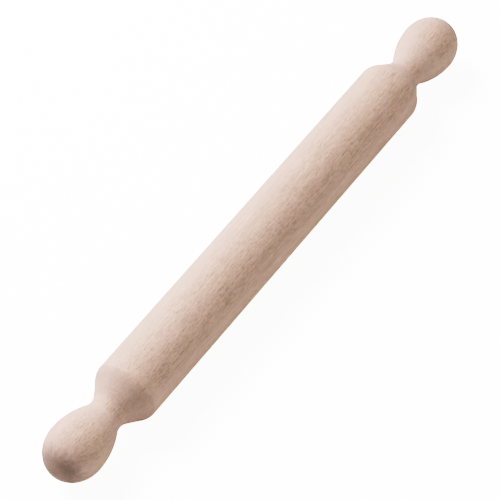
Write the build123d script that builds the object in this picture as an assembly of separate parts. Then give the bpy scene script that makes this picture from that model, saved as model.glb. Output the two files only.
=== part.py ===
from build123d import *
import os
from math import cos, radians, sin, sqrt

# A wooden rolling pin with fixed handles, turned as three pieces and glued together.
# All lengths are in millimetres. The pin lies along X with its middle at the origin.
# The left handle is at -X and the right handle at +X. Up is +Z.

# Whole pin
overall_length = 500.0

# Barrel
barrel_diameter = 50.0
edge_radius = 12.5  # rounds the barrel into its cone shoulder
shoulder_angle = 31.3  # slope of the shoulder where it leaves the neck, in degrees
shoulder_sweep_radius = 200.0  # the shoulder is slightly hollow along its length

# Neck, half of it on the barrel and half on the handle
neck_diameter = 27.0
neck_from_tip = 59.0
neck_fillet_radius = 12.0

# Knob
knob_diameter = 44.3
knob_widest_from_tip = 25.4

# Glued joint between handle and barrel
tenon_diameter = 16.0
tenon_length = 40.0
tenon_chamfer = 1.5
glue_gap = 0.1  # all round the tenon
socket_end_gap = 2.0  # room for spare glue past the tenon's end

# Radii and places that follow from the sizes above, for the right end
barrel_radius = barrel_diameter / 2
neck_radius = neck_diameter / 2
knob_radius = knob_diameter / 2
tenon_radius = tenon_diameter / 2
socket_radius = tenon_radius + glue_gap
half_length = overall_length / 2
knob_x = half_length - knob_widest_from_tip
neck_x = half_length - neck_from_tip
tenon_end_x = neck_x - tenon_length
socket_end_x = tenon_end_x - socket_end_gap


def meeting_point(first_centre, first_radius, second_centre, second_radius):
    # Two arcs that curve opposite ways and run smoothly on meet on the line between their centres.
    first_share = first_radius / (first_radius + second_radius)
    return first_centre + (second_centre - first_centre) * first_share


def knob_back_radius():
    # The back of the knob is one arc. It is level at the knob's widest place and runs smoothly
    # into the neck's fillet, so its radius follows from how far and how deep the neck lies.
    run = knob_x - neck_x
    drop = knob_radius - neck_radius
    return (run**2 + drop**2) / (2 * drop) - neck_fillet_radius


def shoulder_points():
    # Where the fillet, the hollow shoulder and the rounded edge meet, from the neck to the barrel.
    slope = radians(shoulder_angle)
    uphill = Vector(-sin(slope), -cos(slope))
    fillet_centre = Vector(neck_x, neck_radius + neck_fillet_radius)
    foot = fillet_centre + uphill * neck_fillet_radius
    sweep_centre = foot - uphill * shoulder_sweep_radius
    reach = shoulder_sweep_radius + edge_radius
    drop = sweep_centre.Y - (barrel_radius - edge_radius)
    edge_centre = Vector(sweep_centre.X - sqrt(reach**2 - drop**2), barrel_radius - edge_radius)
    brow = meeting_point(sweep_centre, shoulder_sweep_radius, edge_centre, edge_radius)
    return foot, brow, Vector(edge_centre.X, barrel_radius)


def make_barrel():
    neck = Vector(neck_x, neck_radius)
    foot, brow, edge = shoulder_points()
    with BuildPart() as barrel:
        with BuildSketch(Plane.XY):
            with BuildLine():
                Line((0, barrel_radius), edge)
                RadiusArc(edge, brow, edge_radius)
                RadiusArc(brow, foot, -shoulder_sweep_radius)
                RadiusArc(foot, neck, -neck_fillet_radius)
                # Face of the neck and the blind socket for the tenon
                Polyline(
                    neck,
                    (neck_x, socket_radius),
                    (socket_end_x, socket_radius),
                    (socket_end_x, 0),
                    (0, 0),
                )
                mirror(about=Plane.YZ)
            make_face()
        revolve(axis=Axis.X)
    return barrel.part


def make_right_handle():
    back_radius = knob_back_radius()
    back_centre = Vector(knob_x, knob_radius - back_radius)
    fillet_centre = Vector(neck_x, neck_radius + neck_fillet_radius)
    waist = meeting_point(back_centre, back_radius, fillet_centre, neck_fillet_radius)
    neck = Vector(neck_x, neck_radius)
    with BuildPart() as handle:
        with BuildSketch(Plane.XY):
            with BuildLine():
                # The front of the knob is half an ellipse, from its tip to its widest place
                EllipticalCenterArc((knob_x, 0), knob_widest_from_tip, knob_radius, arc_size=90)
                RadiusArc((knob_x, knob_radius), waist, -back_radius)
                RadiusArc(waist, neck, neck_fillet_radius)
                # Face of the neck and the tenon
                Polyline(
                    neck,
                    (neck_x, tenon_radius),
                    (tenon_end_x + tenon_chamfer, tenon_radius),
                    (tenon_end_x, tenon_radius - tenon_chamfer),
                    (tenon_end_x, 0),
                    (half_length, 0),
                )
            make_face()
        revolve(axis=Axis.X)
    return handle.part


right_handle = make_right_handle()
pieces = {
    "barrel": make_barrel(),
    "left_handle": Rot(0, 0, 180) * right_handle,
    "right_handle": right_handle,
}

os.makedirs("parts", exist_ok=True)
for name, piece in pieces.items():
    export_step(piece, f"parts/{name}.step")
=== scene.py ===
from math import atan2, cos, pi, radians, sin, sqrt

import bmesh
import bpy
from mathutils import Matrix, Vector


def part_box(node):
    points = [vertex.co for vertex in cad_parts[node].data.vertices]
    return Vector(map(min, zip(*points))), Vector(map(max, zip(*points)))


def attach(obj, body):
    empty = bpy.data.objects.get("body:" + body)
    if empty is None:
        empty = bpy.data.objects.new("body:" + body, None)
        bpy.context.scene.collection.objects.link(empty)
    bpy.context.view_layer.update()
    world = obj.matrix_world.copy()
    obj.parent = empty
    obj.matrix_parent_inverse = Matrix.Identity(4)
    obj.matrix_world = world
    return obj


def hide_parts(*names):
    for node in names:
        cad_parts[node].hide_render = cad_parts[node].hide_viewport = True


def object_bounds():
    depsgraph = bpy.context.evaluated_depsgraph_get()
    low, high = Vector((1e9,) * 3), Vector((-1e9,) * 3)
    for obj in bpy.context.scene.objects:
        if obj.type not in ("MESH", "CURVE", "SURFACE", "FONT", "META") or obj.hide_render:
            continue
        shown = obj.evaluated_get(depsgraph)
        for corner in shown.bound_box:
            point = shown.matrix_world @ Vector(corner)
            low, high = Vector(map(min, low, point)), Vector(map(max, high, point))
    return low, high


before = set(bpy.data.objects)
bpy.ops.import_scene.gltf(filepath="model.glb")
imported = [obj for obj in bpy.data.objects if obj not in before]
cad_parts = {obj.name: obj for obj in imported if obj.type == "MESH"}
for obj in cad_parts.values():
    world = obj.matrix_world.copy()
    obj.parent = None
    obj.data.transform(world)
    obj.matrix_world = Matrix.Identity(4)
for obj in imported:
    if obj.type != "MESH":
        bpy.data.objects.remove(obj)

cadLow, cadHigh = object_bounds()


def say(stage):
    print("rolling pin:", stage)


# Turned shapes. An outline is drawn in the XY plane, with Y as the radius, and spun round X.

turning = {
    "edgeRadius": 0.0125,  # rounds the barrel into its shoulder
    "shoulderSlope": radians(31.3),  # where the shoulder leaves the neck
    "shoulderSweep": 0.2,  # the shoulder is slightly hollow
    "neckRadius": 0.0135,
    "neckFillet": 0.012,
    "knobWidest": 0.0254,  # from the tip
    "tenonRadius": 0.008,
    "tenonChamfer": 0.0015,
    "glueGap": 0.0001,
    "socketEndGap": 0.002,
    "seamEase": 0.0001,  # takes the sharpness off both sides of the glued seam
    "sides": 192,  # round the axis
    "arcSteps": 14,
    "knobSteps": 36,
    "barrelCuts": 24,  # along half the barrel
    "mergeDistance": 0.000001,
    "sharpAngle": radians(40),
}

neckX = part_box("barrel")[1][0]
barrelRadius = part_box("barrel")[1][1]
tenonEndX, tipX = (corner[0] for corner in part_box("right_handle"))
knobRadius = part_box("right_handle")[1][1]
knobX = tipX - turning["knobWidest"]
filletCentreY = turning["neckRadius"] + turning["neckFillet"]


def startOutline(x, y):
    bm = bmesh.new()
    return bm, bm.verts.new((x, y, 0))


def lineTo(bm, vert, x, y):
    made = bmesh.ops.extrude_vert_indiv(bm, verts=[vert])
    made["verts"][0].co = (x, y, 0)
    return made["verts"][0]


def arcTo(bm, vert, x, y, angle, steps):
    # carries the outline on round the centre (x, y), anticlockwise for a positive angle
    made = bmesh.ops.spin(bm, geom=[vert], cent=(x, y, 0), axis=(0, 0, 1), angle=angle, steps=steps)
    return next(part for part in made["geom_last"] if isinstance(part, bmesh.types.BMVert))


def easeCorner(bm, x, y, offset, segments):
    corner = min(bm.verts, key=lambda vert: (vert.co - Vector((x, y, 0))).length)
    bmesh.ops.bevel(
        bm, geom=[corner], offset=offset, offset_type="OFFSET", affect="VERTICES",
        segments=segments, profile=0.5, material=-1,
    )


def turnedPiece(name, bm, turnRound=False):
    # spins the outline into a closed piece and links it into the scene; it is put on its body
    # afterwards
    bmesh.ops.spin(
        bm, geom=bm.verts[:] + bm.edges[:], cent=(0, 0, 0), axis=(1, 0, 0), angle=2 * pi,
        steps=turning["sides"], use_merge=True,
    )
    bmesh.ops.remove_doubles(bm, verts=bm.verts[:], dist=turning["mergeDistance"])
    if turnRound:
        bmesh.ops.rotate(bm, verts=bm.verts[:], cent=(0, 0, 0), matrix=Matrix.Rotation(pi, 3, "Z"))
    bmesh.ops.recalc_face_normals(bm, faces=bm.faces[:])
    mesh = bpy.data.meshes.new(name)
    bm.to_mesh(mesh)
    bm.free()
    mesh.shade_smooth()
    mesh.set_sharp_from_angle(angle=turning["sharpAngle"])
    piece = bpy.data.objects.new(name, mesh)
    bpy.context.scene.collection.objects.link(piece)
    return piece


def turnBarrel():
    t = turning
    socketRadius = t["tenonRadius"] + t["glueGap"]
    socketEndX = tenonEndX - t["socketEndGap"]
    slope, sweep, edge = t["shoulderSlope"], t["shoulderSweep"], t["edgeRadius"]
    footX = neckX - t["neckFillet"] * sin(slope)
    footY = filletCentreY - t["neckFillet"] * cos(slope)
    sweepX = footX + sweep * sin(slope)
    sweepY = footY + sweep * cos(slope)
    drop = sweepY - (barrelRadius - edge)
    edgeX = sweepX - sqrt((sweep + edge) ** 2 - drop**2)
    browSlope = atan2(sweepX - edgeX, drop)

    bm, socketFloor = startOutline(socketEndX, 0)
    corner = lineTo(bm, socketFloor, socketEndX, socketRadius)
    mouth = lineTo(bm, corner, neckX, socketRadius)
    neck = lineTo(bm, mouth, neckX, t["neckRadius"])
    foot = arcTo(bm, neck, neckX, filletCentreY, -slope, t["arcSteps"])
    brow = arcTo(bm, foot, sweepX, sweepY, slope - browSlope, t["arcSteps"])
    edgeEnd = arcTo(bm, brow, edgeX, barrelRadius - edge, browSlope, t["arcSteps"])
    middle = lineTo(bm, edgeEnd, 0, barrelRadius)
    bmesh.ops.subdivide_edges(bm, edges=[bm.edges.get((edgeEnd, middle))], cuts=t["barrelCuts"])
    easeCorner(bm, neckX, t["neckRadius"], t["seamEase"], 2)
    bmesh.ops.mirror(
        bm, geom=bm.verts[:] + bm.edges[:], matrix=Matrix.Identity(4), axis="X",
        merge_dist=t["mergeDistance"],
    )
    return turnedPiece("turned_barrel", bm)


def turnHandle(name, turnRound):
    t = turning
    run = knobX - neckX
    fall = knobRadius - t["neckRadius"]
    backRadius = (run**2 + fall**2) / (2 * fall) - t["neckFillet"]
    backAngle = atan2(run, filletCentreY - (knobRadius - backRadius))

    bm, tip = startOutline(knobX + knobRadius, 0)
    widest = arcTo(bm, tip, knobX, 0, pi / 2, t["knobSteps"])
    # the front of the knob is a little longer than round
    bmesh.ops.scale(
        bm, verts=bm.verts[:], vec=(t["knobWidest"] / knobRadius, 1, 1),
        space=Matrix.Translation((-knobX, 0, 0)),
    )
    waist = arcTo(bm, widest, knobX, knobRadius - backRadius, backAngle, t["knobSteps"])
    neck = arcTo(bm, waist, neckX, filletCentreY, -backAngle, t["arcSteps"])
    root = lineTo(bm, neck, neckX, t["tenonRadius"])
    corner = lineTo(bm, root, tenonEndX, t["tenonRadius"])
    lineTo(bm, corner, tenonEndX, 0)
    easeCorner(bm, neckX, t["neckRadius"], t["seamEase"], 2)
    easeCorner(bm, tenonEndX, t["tenonRadius"], t["tenonChamfer"], 1)
    return turnedPiece(name, bm, turnRound)


barrel = turnBarrel()
leftHandle = turnHandle("turned_left_handle", True)
rightHandle = turnHandle("turned_right_handle", False)
say("pieces turned")


# Beech, bare and sanded, all from one log, whose heart lies below the flat-sawn side that shows the
# short dark rays

beech = {
    # a pattern's size runs along the grain, across it and towards the heart of the log, in metres
    "pink": (0.80, 0.514, 0.427),
    "straw": (0.79, 0.528, 0.416),
    "warmthSize": (0.06, 0.007, 0.012),  # of the pink and the straw parts
    "warmthEdge": (0.35, 0.65),
    "patchSize": (0.14, 0.006, 0.02),
    "patchTone": 0.10,
    "paintedLightLeft": 0.30,  # painted light: lighter towards the left end and darker towards the right, as from lamps nearer the left end
    # the log
    "heartAngle": radians(-25),  # turns the log so that its heart lies straight below
    "heartDepth": 0.11,
    "driftSize": (0.09, 0.02, 0.02),
    "drift": 0.004,  # how far the grain strays sideways
    "flatSawn": (0.55, 0.98),  # how squarely a face has to look away from the heart
    "quarterShare": 0.35,  # what the other faces still show of the rays
    # yearly rings
    "ringWidth": 0.0032,
    "ringLean": 0.02,  # the rings lean along the pin, which draws them out into arches
    "ringTone": 0.022,
    "lateWood": (0.1, 0.9, 0.92, 1.0),  # where in a year the wood darkens and where it pales
    "unevenYears": 2.9,  # wide and narrow years come in runs of about this many
    "unevenness": 3.0,
    # rays
    "ray": (0.36, 0.20, 0.14),
    "rays": {
        "room": (0.0070, 0.0011, 0.012), "length": 0.0052, "width": 0.00044, "tone": 0.70,
    },
    "fineRays": {
        "room": (0.0032, 0.00075, 0.006), "length": 0.0025, "width": 0.00034, "tone": 0.80,
    },
    "rayScatter": 0.85,
    "rayTaper": 0.9,  # how fast a ray thins out towards and away from the heart
    "raySizes": (0.6, 1.2),
    "rayEdge": (0.6, 1.2),  # where a ray starts to fade and where it ends
    "rayTones": (0.3, 1.0),
    # fibres
    "fibreSize": (0.016, 0.0008, 0.0010),
    "fibreTone": 0.60,
    "hairSize": (0.030, 0.00035, 0.0005),
    "hairTone": 0.50,
    # where the cut runs slantwise or straight across the fibres; the slant colour is partly the cut
    # grain's own paler tint and partly a painted sheen
    "slantGrainAndSheen": (0.80, 0.57, 0.50),
    "slantGrainAndSheenShare": 0.45,
    "slant": (0.05, 0.55),  # 0 is along the fibres and 1 straight across them
    # darker across the fibres on the knobs: partly the end grain's own colour and partly painted
    # shade on the tips, which face away from the lamps
    "endGrainAndShade": (0.27, 0.217, 0.188),
    "endGrainAndShadeShare": 0.66,
    "end": (0.36, 0.82),
    "endSize": (0.05, 0.0027, 0.0018),  # of the ragged patches in the end grain
    "endMottle": 0.6,
    "paintedPoleLight": (0.80, 1.0, 0.55),  # it fades to this share in the middle of the tip: painted bounce light from the floor
    "tips": (0.20, 0.235, 0.35),  # and it grows to its full out on the knobs, from this share
    # round the left shoulder's edge a painted shade line with a painted highlight line beside it,
    # in place of a crisper turn of the edge
    "paintedEdgeShade": (-0.1745, -0.1708, -0.1688, -0.1670),
    "paintedEdgeShadeShare": 0.23,
    "paintedEdgeHighlight": (-0.1675, -0.1655, -0.1600, -0.1520),
    "paintedEdgeHighlightTone": 0.04,
    # sheen and relief
    "specular": 0.3,
    "roughness": 0.62,
    "fibreDull": 0.12,
    "endDull": 0.08,
    "relief": 0.00024,
    "raySink": 0.5,
    "fineRaySink": 0.3,
}


def beechWood():
    wood = bpy.data.materials.new("beech")
    wood.use_nodes = True
    nodes, links = wood.node_tree.nodes, wood.node_tree.links
    surface = nodes["Principled BSDF"]
    surface.inputs["Specular IOR Level"].default_value = beech["specular"]

    def put(kind, *feeds, **settings):
        # adds a node and fills its first sockets with links or plain values
        node = nodes.new("ShaderNode" + kind)
        for setting, value in settings.items():
            setattr(node, setting, value)
        for socket, feed in zip(node.inputs, feeds):
            if isinstance(feed, bpy.types.NodeSocket):
                links.new(feed, socket)
            elif feed is not None:
                socket.default_value = feed
        return node

    def sums(operation, *feeds):
        return put("Math", *feeds, operation=operation).outputs[0]

    def times(first, second):
        return sums("MULTIPLY", first, second)

    def between(share, low, high):
        return sums("MULTIPLY_ADD", share, high - low, low)

    def fitted(place, size):
        # one step of the result is one size of the pattern
        return put("Mapping", place, None, None, tuple(1 / side for side in size)).outputs[0]

    def noise(place, size, detail=1.0):
        return put("TexNoise", fitted(place, size), None, 1.0, detail, 0.5).outputs["Fac"]

    def centred(place, size, detail=1.0):
        return sums("SUBTRACT", noise(place, size, detail), 0.5)

    def ramp(feed, *stops):
        return put("MapRange", feed, *stops, interpolation_type="SMOOTHSTEP").outputs[0]

    def band(feed, places):
        # rises between the first two places and falls between the last two
        return times(ramp(feed, *places[:2], 0.0, 1.0), ramp(feed, *places[2:], 1.0, 0.0))

    def blend(amount, first, second):
        # the colour sockets of a Mix node are 6 and 7 on the way in and 2 on the way out
        node = put("Mix", data_type="RGBA", clamp_factor=True)
        for socket, feed in ((0, amount), (6, first), (7, second)):
            if isinstance(feed, bpy.types.NodeSocket):
                links.new(feed, node.inputs[socket])
            else:
                node.inputs[socket].default_value = (*feed, 1)
        return node.outputs[2]

    # the log: along the pin, round the heart and out from the heart
    place = put("TexCoord").outputs["Object"]
    log = put("Mapping", place, (0, 0, beech["heartDepth"]), (beech["heartAngle"], 0, 0)).outputs[0]
    along, across, out = put("SeparateXYZ", log).outputs
    roundHeart = times(sums("ARCTAN2", across, out), beech["heartDepth"])
    radius = sums("SQRT", sums("ADD", times(across, across), times(out, out)))
    drift = times(centred(place, beech["driftSize"], 2.0), beech["drift"])
    grain = put("CombineXYZ", along, sums("ADD", roundHeart, drift), radius).outputs[0]

    # which way the surface was cut
    normal = put("TexCoord").outputs["Normal"]
    lengthwise = sums("ABSOLUTE", put("SeparateXYZ", normal).outputs[0])
    outward = put("Mapping", normal, None, (beech["heartAngle"], 0, 0)).outputs[0]
    facing = put("SeparateXYZ", outward).outputs[2]
    flatSawn = ramp(facing, *beech["flatSawn"], beech["quarterShare"], 1.0)

    # yearly rings
    leaning = sums("ADD", radius, times(along, beech["ringLean"]))
    years = sums("DIVIDE", sums("ADD", leaning, drift), beech["ringWidth"])
    yearPlace = put("CombineXYZ", 0.0, 0.0, years).outputs[0]
    uneven = times(noise(yearPlace, (1, 1, beech["unevenYears"])), beech["unevenness"])
    lateWood = band(sums("FRACT", sums("ADD", years, uneven)), beech["lateWood"])

    # rays and fibres, clearest on the flat-sawn side
    def dashes(kind):
        # thin spindles along the grain, one in each cell, of mixed size and darkness
        spread = fitted(grain, kind["room"])
        cells = put("TexVoronoi", spread, None, 1.0)
        cells.inputs["Randomness"].default_value = beech["rayScatter"]
        middle = cells.outputs["Position"]
        offset = put("VectorMath", spread, middle, operation="SUBTRACT").outputs[0]
        sides = (kind["length"], kind["width"])
        slim = [2 * room / side for room, side in zip(kind["room"], sides)]
        slim.append(beech["rayTaper"])
        shape = put("VectorMath", offset, slim, operation="MULTIPLY").outputs[0]
        reach = put("VectorMath", shape, operation="LENGTH").outputs["Value"]
        chance = put("SeparateColor", cells.outputs["Color"]).outputs
        size = between(chance[0], *beech["raySizes"])
        dash = ramp(sums("DIVIDE", reach, size), *beech["rayEdge"], 1.0, 0.0)
        return times(times(dash, between(chance[1], *beech["rayTones"])), flatSawn)

    rays = dashes(beech["rays"])
    fineRays = dashes(beech["fineRays"])
    fibres = times(centred(grain, beech["fibreSize"]), between(flatSawn, 0.5, 1.0))
    hairs = centred(grain, beech["hairSize"])

    # colour
    warmth = ramp(noise(grain, beech["warmthSize"], 2.0), *beech["warmthEdge"], 0.0, 1.0)
    # painted light: the tone rises towards the left end and falls towards the right
    tone = sums("MULTIPLY_ADD", along, -beech["paintedLightLeft"], 1.0)
    tone = sums("MULTIPLY_ADD", centred(grain, beech["patchSize"]), beech["patchTone"], tone)
    tone = sums("MULTIPLY_ADD", fibres, beech["fibreTone"], tone)
    tone = sums("MULTIPLY_ADD", hairs, beech["hairTone"], tone)
    tone = sums("MULTIPLY_ADD", lateWood, -beech["ringTone"], tone)
    # painted highlight: a pale line on the barrel beside the left shoulder's edge
    tone = sums("MULTIPLY_ADD", band(along, beech["paintedEdgeHighlight"]), beech["paintedEdgeHighlightTone"], tone)
    toned = put("VectorMath", blend(warmth, beech["pink"], beech["straw"]), operation="SCALE")
    links.new(tone, toned.inputs["Scale"])
    # painted shade: a dark line round the left shoulder's edge
    paintedEdgeShade = times(band(along, beech["paintedEdgeShade"]), beech["paintedEdgeShadeShare"])
    colour = blend(paintedEdgeShade, toned.outputs[0], beech["ray"])
    colour = blend(times(rays, beech["rays"]["tone"]), colour, beech["ray"])
    colour = blend(times(fineRays, beech["fineRays"]["tone"]), colour, beech["ray"])
    # paler and greyer where the cut slants across the fibres, on the shoulders: partly the cut
    # grain's own tint, partly a painted sheen
    slant = ramp(lengthwise, *beech["slant"], 0.0, 1.0)
    colour = blend(times(slant, beech["slantGrainAndSheenShare"]), colour, beech["slantGrainAndSheen"])
    mottle = centred(grain, beech["endSize"], 2.0)
    ragged = sums("MULTIPLY_ADD", mottle, beech["endMottle"], lengthwise)
    poleLightFrom, poleLightTo, poleLightShare = beech["paintedPoleLight"]
    tipsFrom, tipsTo, neckShare = beech["tips"]
    # the knobs' ends darken: partly end grain, partly painted shade where the tips face away from
    # the lamps
    endsAndShade = ramp(ragged, *beech["end"], 0.0, 1.0)
    # painted bounce light: the darkening lifts in the middle of the tip
    endsAndShade = times(endsAndShade, ramp(lengthwise, poleLightFrom, poleLightTo, 1.0, poleLightShare))
    endsAndShade = times(endsAndShade, ramp(sums("ABSOLUTE", along), tipsFrom, tipsTo, neckShare, 1.0))
    colour = blend(times(endsAndShade, beech["endGrainAndShadeShare"]), colour, beech["endGrainAndShade"])
    links.new(colour, surface.inputs["Base Color"])

    # sheen and relief
    dull = sums("MULTIPLY_ADD", fibres, beech["fibreDull"], beech["roughness"])
    links.new(sums("MULTIPLY_ADD", endsAndShade, beech["endDull"], dull), surface.inputs["Roughness"])
    height = sums("MULTIPLY_ADD", fineRays, -beech["fineRaySink"], fibres)
    height = sums("MULTIPLY_ADD", rays, -beech["raySink"], height)
    relief = put("Bump")
    relief.inputs["Distance"].default_value = beech["relief"]
    relief.inputs["Strength"].default_value = 1.0
    links.new(sums("ADD", height, hairs), relief.inputs["Height"])
    links.new(relief.outputs[0], surface.inputs["Normal"])
    return wood


wood = beechWood()
for piece, node in ((barrel, "barrel"), (leftHandle, "left_handle"), (rightHandle, "right_handle")):
    piece.data.materials.append(wood)
    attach(piece, "root")
    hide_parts(node)
say("beech finished")


# Studio

studio = {
    "floorSize": 6.0,
    "floorColour": (0.74, 0.74, 0.74),
    "floorSeen": (6.9, 6.9, 6.9),  # lifts the floor to paper white for the camera alone
    "floorGlow": 3.0,
    "lights": {
        # name: direction from the pin in degrees (round from +X, then up), watts, colour
        "side_light": (70, 30, 15.9, (1.0, 0.92, 0.92)),
        "high_side_light": (90, 48, 29.2, (1.0, 0.92, 0.92)),
        "front_fill": (278, 48, 4.7, (0.94, 0.99, 0.935)),
        "low_fill": (285, 10, 3.5, (0.94, 0.99, 0.935)),
        "end_fill": (190, 5, 0.7, (0.94, 0.99, 0.935)),
    },
    "lightDistance": 1.6,
    "lightSize": 0.9,
    "skyStrength": 0.03,
    "skySeen": 10.0,
    "film": ("Filmic", "Very High Contrast"),
}


def floorPaint():
    # white paper: its bounce on the wood is natural, the camera sees it near pure white, and it is
    # see-through from beneath
    paint = bpy.data.materials.new("floor_white")
    paint.use_nodes = True
    nodes, links = paint.node_tree.nodes, paint.node_tree.links
    nodes.clear()

    def either(switch, first, second):
        mix = nodes.new("ShaderNodeMixShader")
        links.new(switch, mix.inputs[0])
        links.new(first.outputs[0], mix.inputs[1])
        links.new(second.outputs[0], mix.inputs[2])
        return mix

    bounce = nodes.new("ShaderNodeBsdfDiffuse")
    bounce.inputs["Color"].default_value = (*studio["floorColour"], 1)
    seen = nodes.new("ShaderNodeBsdfDiffuse")
    seen.inputs["Color"].default_value = (*studio["floorSeen"], 1)
    glow = nodes.new("ShaderNodeEmission")
    glow.inputs["Strength"].default_value = studio["floorGlow"]
    paper = nodes.new("ShaderNodeAddShader")
    links.new(seen.outputs[0], paper.inputs[0])
    links.new(glow.outputs[0], paper.inputs[1])
    top = either(nodes.new("ShaderNodeLightPath").outputs["Is Camera Ray"], bounce, paper)
    clear = nodes.new("ShaderNodeBsdfTransparent")
    whole = either(nodes.new("ShaderNodeNewGeometry").outputs["Backfacing"], top, clear)
    links.new(whole.outputs[0], nodes.new("ShaderNodeOutputMaterial").inputs["Surface"])
    return paint


def layFloor():
    bm = bmesh.new()
    bmesh.ops.create_grid(bm, x_segments=1, y_segments=1, size=studio["floorSize"] / 2)
    bmesh.ops.translate(bm, verts=bm.verts[:], vec=(0, 0, cadLow.z))
    mesh = bpy.data.meshes.new("floor")
    bm.to_mesh(mesh)
    bm.free()
    mesh.materials.append(floorPaint())
    floor = bpy.data.objects.new("floor", mesh)
    bpy.context.scene.collection.objects.link(floor)


def hangLight(name, turn, climb, power, colour):
    light = bpy.data.lights.new(name, "AREA")
    light.shape = "DISK"
    light.size = studio["lightSize"]
    light.energy = power
    light.color = colour
    turn, climb = radians(turn), radians(climb)
    away = Vector((cos(turn) * cos(climb), sin(turn) * cos(climb), sin(climb)))
    lamp = bpy.data.objects.new(name, light)
    lamp.location = away * studio["lightDistance"]
    lamp.rotation_euler = away.to_track_quat("Z", "Y").to_euler()
    lamp.visible_camera = False
    bpy.context.scene.collection.objects.link(lamp)


def lightSky():
    # a faint even light, which the camera sees as white as the floor
    world = bpy.data.worlds.new("studio")
    world.use_nodes = True
    nodes, links = world.node_tree.nodes, world.node_tree.links
    sky = nodes["Background"]
    sky.inputs["Color"].default_value = (1, 1, 1, 1)
    sky.inputs["Strength"].default_value = studio["skyStrength"]
    seen = nodes.new("ShaderNodeBackground")
    seen.inputs["Color"].default_value = (1, 1, 1, 1)
    seen.inputs["Strength"].default_value = studio["skySeen"]
    mix = nodes.new("ShaderNodeMixShader")
    links.new(nodes.new("ShaderNodeLightPath").outputs["Is Camera Ray"], mix.inputs[0])
    links.new(sky.outputs[0], mix.inputs[1])
    links.new(seen.outputs[0], mix.inputs[2])
    links.new(mix.outputs[0], nodes["World Output"].inputs["Surface"])
    bpy.context.scene.world = world


layFloor()
for name, setting in studio["lights"].items():
    hangLight(name, *setting)
lightSky()
view = bpy.context.scene.view_settings
view.view_transform, view.look = studio["film"]
say("studio lit")


# Camera, level and looking down at the pin from its left end

shot = {
    "lens": 176.0,
    "azimuth": radians(-55.13),
    "elevation": radians(52.56),
    "distance": 1.7803,
    "pinRight": 0.00961,  # where the pin's middle lies in the picture, from the line of sight
    "pinUp": 0.01087,
}


def placeCamera():
    azimuth, elevation = shot["azimuth"], shot["elevation"]
    back = Vector((
        sin(azimuth) * cos(elevation), -cos(azimuth) * cos(elevation), sin(elevation)
    ))
    right = Vector((cos(azimuth), sin(azimuth), 0))
    up = back.cross(right)
    camera = bpy.data.objects.new("camera", bpy.data.cameras.new("camera"))
    camera.data.lens = shot["lens"]
    camera.location = back * shot["distance"] - right * shot["pinRight"] - up * shot["pinUp"]
    camera.rotation_euler = back.to_track_quat("Z", "Y").to_euler()
    bpy.context.scene.collection.objects.link(camera)
    bpy.context.scene.camera = camera


placeCamera()
say("camera placed")
